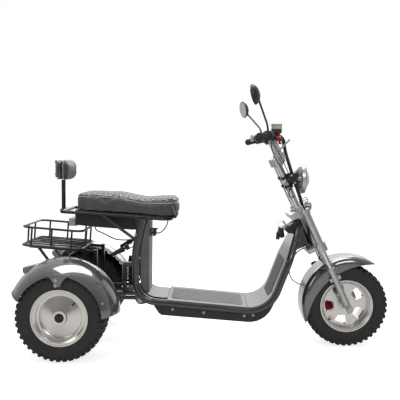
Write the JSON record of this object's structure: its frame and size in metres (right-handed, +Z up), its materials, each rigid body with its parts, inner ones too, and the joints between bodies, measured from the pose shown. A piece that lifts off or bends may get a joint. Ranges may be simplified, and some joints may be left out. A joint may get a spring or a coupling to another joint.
{
  "type": "electric tricycle",
  "caption": "Step-through electric tricycle with a steered front wheel, driven rear wheels under round fenders, long quilted seat, backrest pad and rear wire basket.",
  "frame": {"origin": "on the ground under the middle of the whole vehicle's bounding box", "axes": "+X forward, +Y to the rider's left, +Z up"},
  "size_m": [1.944, 0.8483, 1.3489],
  "materials": {
    "frame_paint": "satin black powder coat",
    "deck_grey": "glossy mid-grey moulded plastic",
    "tray_plastic": "matt black-brown moulded plastic",
    "column_plastic": "matt black sheet",
    "battery_case": "plain sealed case",
    "seat_leather": "black leatherette, greyer quilted top",
    "pad_leather": "black leatherette",
    "black_plastic": "satin black plastic",
    "black_steel": "gloss black paint",
    "basket_wire": "black dipped wire",
    "red_lens": "red moulded lens",
    "fender_gloss": "dark grey gloss with a fine weave",
    "tyre_rubber": "black rubber",
    "cast_wheel": "machined and cast aluminium",
    "fork_silver": "silver-grey anodised",
    "chrome_tube": "polished chrome",
    "brushed_steel": "brushed steel",
    "drive_steel": "dark cast housing",
    "bar_black": "satin black",
    "grip_rubber": "black rubber",
    "lamp_grey": "grey enamel with a chrome rim",
    "lamp_lens": "clear lens",
    "mirror_glass": "mirror",
    "brake_red": "red anodised",
    "hose_black": "black rubber",
    "conduit_black": "black corrugated sleeve",
    "panel_black": "textured black plastic"
  },
  "bodies": {
    "chassis": {"frame_tube_right": "frame_paint", "frame_tube_left": "frame_paint", "head_tube": "frame_paint", "key_panel": "panel_black", "column_crossbars": "frame_paint", "floor_panel": "deck_grey", "ramp_panel": "deck_grey", "leg_shield": "deck_grey", "battery_tray": "tray_plastic", "battery_block": "battery_case", "column_cover": "column_plastic", "seat_rail_frame": "black_steel", "seat_base": "black_plastic", "seat": "seat_leather", "controller_box": "black_plastic", "tail_lamp": "red_lens", "backrest_post": "black_steel", "backrest_pad": "pad_leather", "basket": "basket_wire", "rear_axle_drive": "drive_steel", "swing_arms": "frame_paint", "shock_absorbers": "chrome_tube", "basket_supports": "black_steel", "rear_fenders": "fender_gloss", "fender_stays": "black_steel", "rear_reflectors": "red_lens", "seat_cable": "hose_black", "peg_brackets": "black_steel", "seat_latch": "black_plastic", "latch_cable": "hose_black"},
    "steering": {"lower_yoke": "fork_silver", "upper_yoke": "fork_silver", "top_yoke": "bar_black", "fork_stanchions": "chrome_tube", "fork_covers": "fork_silver", "fork_sliders": "fork_silver", "riser_tubes": "chrome_tube", "front_axle": "brushed_steel", "brake_caliper": "brake_red", "handlebar": "bar_black", "grips": "grip_rubber", "hand_controls": "black_plastic", "mirrors": "black_plastic", "mirror_glasses": "mirror_glass", "headlight_bucket": "lamp_grey", "headlight_lens": "lamp_lens", "headlight_bracket": "black_steel", "horn": "chrome_tube", "front_fender": "fender_gloss", "wiring_conduit": "conduit_black", "brake_hose": "hose_black"},
    "rear_wheel_right": {"rear_tyre_right": "tyre_rubber", "rear_rim_right": "cast_wheel"},
    "rear_wheel_left": {"rear_tyre_left": "tyre_rubber", "rear_rim_left": "cast_wheel"},
    "front_wheel": {"front_tyre": "tyre_rubber", "front_rim": "cast_wheel", "brake_disc": "brushed_steel"},
    "peg_right": {"peg_right": "grip_rubber"},
    "peg_left": {"peg_left": "grip_rubber"}
  },
  "joints": [
    {"name": "steer", "type": "hinge", "parent": "chassis", "child": "steering", "pos_m": [0.70928, 0, 0.20284], "axis": [-0.4258, 0, 0.9048], "range_deg": [-38, 38]},
    {"name": "rear_spin_right", "type": "hinge", "parent": "chassis", "child": "rear_wheel_right", "pos_m": [-0.71, -0.306, 0.222], "axis": [0, 1, 0], "continuous": true},
    {"name": "rear_spin_left", "type": "hinge", "parent": "chassis", "child": "rear_wheel_left", "pos_m": [-0.71, 0.306, 0.222], "axis": [0, 1, 0], "continuous": true},
    {"name": "front_spin", "type": "hinge", "parent": "steering", "child": "front_wheel", "pos_m": [0.75, 0, 0.222], "axis": [0, 1, 0], "continuous": true},
    {"name": "peg_fold_right", "type": "hinge", "parent": "chassis", "child": "peg_right", "pos_m": [-0.417, -0.14, 0.535], "axis": [-0.4689, 0, 0.8833], "range_deg": [0, 80]},
    {"name": "peg_fold_left", "type": "hinge", "parent": "chassis", "child": "peg_left", "pos_m": [-0.417, 0.14, 0.535], "axis": [0.4689, 0, -0.8833], "range_deg": [0, 80]}
  ]
}
